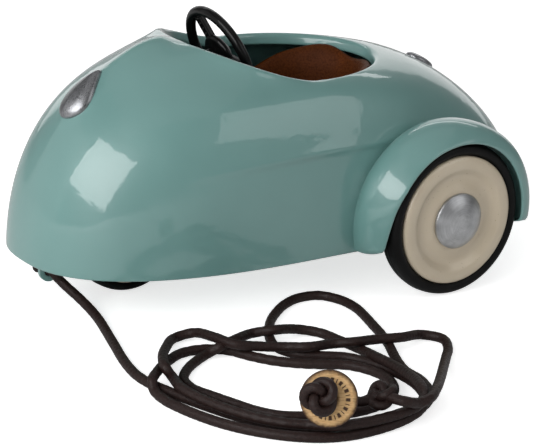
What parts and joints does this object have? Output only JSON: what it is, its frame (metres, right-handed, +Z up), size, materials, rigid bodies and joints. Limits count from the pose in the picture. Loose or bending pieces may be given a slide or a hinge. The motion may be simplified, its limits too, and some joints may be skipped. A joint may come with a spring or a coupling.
{
  "type": "pull-back toy car",
  "caption": "Rounded pressed-metal toy car with two large rear wheels under mudguards, a small front wheel, an open cockpit with seat and steering wheel, and a pull cord with a button.",
  "frame": {"origin": "on the flat underside of the floor pan, on the centre line, straight below the rear axle", "axes": "+X to the nose, +Y to the driver's left, +Z up"},
  "size_m": [0.189, 0.1954, 0.0893],
  "materials": {
    "teal_paint": "gloss enamel",
    "silver_trim": "satin with fine brushing",
    "cream_enamel": "semi-gloss enamel",
    "tyre_rubber": "satin moulded rubber",
    "zinc_steel": "bright zinc",
    "brass_collar": "turned",
    "black_enamel": "gloss black",
    "leather": "pebble grain",
    "motor_plastic": "moulded",
    "gear_plastic": "moulded",
    "cord_braid": "waxed braid",
    "button_wood": "plain sanded wood"
  },
  "bodies": {
    "car": {"body_shell": "teal_paint", "left_mudguard": "teal_paint", "right_mudguard": "teal_paint", "floor_pan": "teal_paint", "tow_eye": "teal_paint", "headlamp_cover": "silver_trim", "tail_cap": "silver_trim", "left_axle_bracket": "zinc_steel", "right_axle_bracket": "zinc_steel", "front_fork": "zinc_steel", "front_axle_pin": "zinc_steel", "front_axle_clip": "zinc_steel", "column_bracket": "zinc_steel", "seat_frame": "zinc_steel", "idler_pin": "zinc_steel", "mainspring": "zinc_steel", "pan_screw_1": "zinc_steel", "pan_screw_2": "zinc_steel", "pan_screw_3": "zinc_steel", "pan_screw_4": "zinc_steel", "tow_screw": "zinc_steel", "fork_screw_1": "zinc_steel", "fork_screw_2": "zinc_steel", "motor_screw_1": "zinc_steel", "motor_screw_2": "zinc_steel", "seat_squab": "leather", "seat_backrest": "leather", "motor_housing_left": "motor_plastic", "motor_housing_right": "motor_plastic", "pull_cord": "cord_braid", "cord_button": "button_wood"},
    "rear_wheelset": {"rear_axle": "zinc_steel", "axle_pinion": "gear_plastic", "left_rear_tyre": "tyre_rubber", "left_rear_wheel": "cream_enamel", "left_rear_hubcap": "silver_trim", "right_rear_tyre": "tyre_rubber", "right_rear_wheel": "cream_enamel", "right_rear_hubcap": "silver_trim"},
    "front_wheel_set": {"front_tyre": "tyre_rubber", "front_wheel": "cream_enamel"},
    "idler": {"idler_gear": "gear_plastic"},
    "spring_drum": {"spring_drum_gear": "gear_plastic", "spring_arbor": "zinc_steel"},
    "steering": {"steering_wheel": "black_enamel", "steering_cap": "black_enamel", "steering_column": "zinc_steel", "column_collar": "brass_collar"}
  },
  "joints": [
    {"name": "rear_axle_spin", "type": "hinge", "parent": "car", "child": "rear_wheelset", "pos_m": [0, 0, 0.0085], "axis": [0, 1, 0], "continuous": true},
    {"name": "idler_spin", "type": "hinge", "parent": "car", "child": "idler", "pos_m": [0.00927, 0, 0.011], "axis": [0, 1, 0], "continuous": true},
    {"name": "drum_spin", "type": "hinge", "parent": "car", "child": "spring_drum", "pos_m": [0.01947, 0, 0.0112], "axis": [0, 1, 0], "continuous": true},
    {"name": "front_wheel_spin", "type": "hinge", "parent": "car", "child": "front_wheel_set", "pos_m": [0.091, 0, 0.002], "axis": [0, 1, 0], "continuous": true},
    {"name": "steering_spin", "type": "hinge", "parent": "car", "child": "steering", "pos_m": [0.0575, 0, 0.0566], "axis": [-0.9205, 0, 0.3907], "continuous": true}
  ],
  "couplings": [
    {"joint": "idler_spin", "follows": "rear_axle_spin", "ratio": -0.45454},
    {"joint": "drum_spin", "follows": "rear_axle_spin", "ratio": 0.18939}
  ]
}
